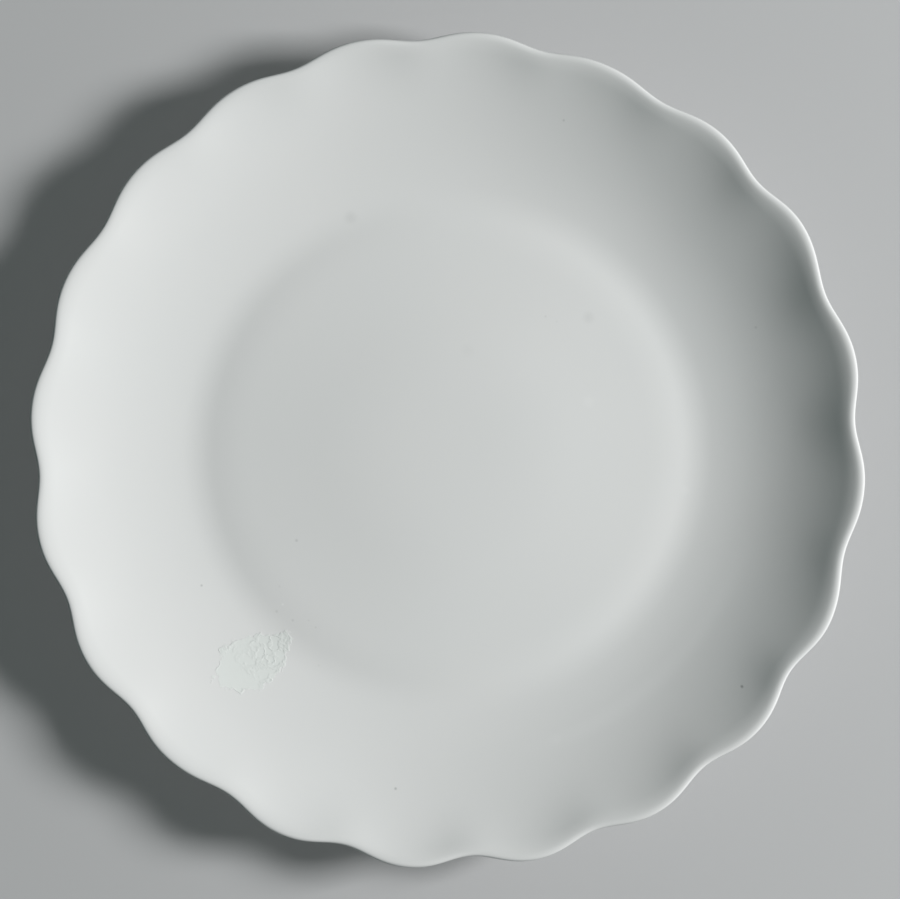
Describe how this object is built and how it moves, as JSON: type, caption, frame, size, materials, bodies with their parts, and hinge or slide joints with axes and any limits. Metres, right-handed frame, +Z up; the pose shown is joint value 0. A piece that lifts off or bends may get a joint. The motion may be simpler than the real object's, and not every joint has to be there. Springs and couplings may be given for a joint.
{
  "type": "scalloped dessert plate",
  "caption": "Round white dessert plate with a faintly crowned well, a curved wall, a fluted scalloped rim with a rolled edge, and a foot ring.",
  "frame": {"origin": "on the plate's axis, at the plane that the foot ring stands on", "axes": "+Z up along the plate's axis, +X through a scallop tip"},
  "size_m": [0.195, 0.195, 0.0205],
  "materials": {
    "glaze": "smooth glossy white with a faint cool tint"
  },
  "bodies": {
    "root": {"plate": "glaze"}
  },
  "joints": []
}
